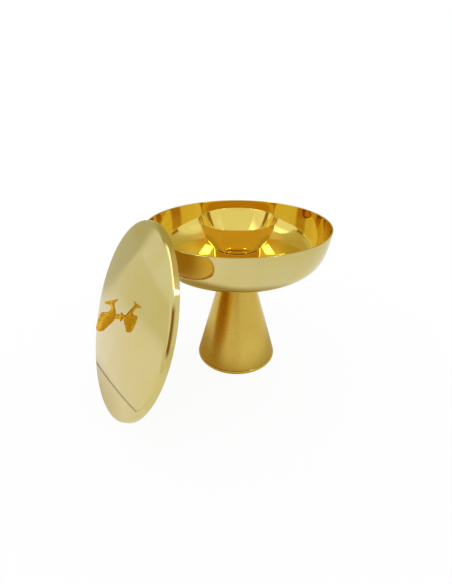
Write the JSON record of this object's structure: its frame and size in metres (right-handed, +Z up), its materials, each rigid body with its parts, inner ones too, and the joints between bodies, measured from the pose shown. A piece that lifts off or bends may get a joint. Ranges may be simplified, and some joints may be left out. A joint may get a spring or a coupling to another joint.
{
  "type": "ciborium",
  "caption": "Low gilt brass ciborium: a wide shallow bowl on a conical foot, a small wine cup on a collar inside it, and a domed lid with a fish handle leaning on its rim.",
  "frame": {"origin": "centre of the foot's underside, on the surface it stands on", "axes": "+Z up along the axis of foot, bowl and cup; -Y towards the front; the lid leans on the rim's left, on the -X and -Y side"},
  "size_m": [0.2194, 0.208, 0.1491],
  "materials": {
    "polished_brass": "polished and thinly gilt",
    "gilt_brass": "polished and heavily gilt",
    "satin_brass": "satin, spun",
    "steel": "plain"
  },
  "bodies": {
    "stand": {"base_plate": "satin_brass", "foot_base_ring": "gilt_brass", "foot_cone": "satin_brass", "foot_top_disc": "satin_brass", "foot_stud": "steel", "bowl_boss": "satin_brass", "foot_washer": "steel", "foot_nut": "steel", "bowl": "polished_brass", "cup_collar": "gilt_brass"},
    "cup_body": {"cup": "gilt_brass", "cup_spigot": "gilt_brass"},
    "lid": {"lid_shell": "polished_brass", "lid_post": "gilt_brass", "fish_handle": "gilt_brass", "lid_washer": "satin_brass", "lid_nut": "steel"}
  },
  "joints": [
    {"name": "cup_lift", "type": "slide", "parent": "stand", "child": "cup_body", "axis": [0, 0, 1], "range_m": [0, 0.08]},
    {"name": "lid_lift", "type": "slide", "parent": "stand", "child": "lid", "axis": [0, 0, 1], "range_m": [0, 0.16]}
  ]
}
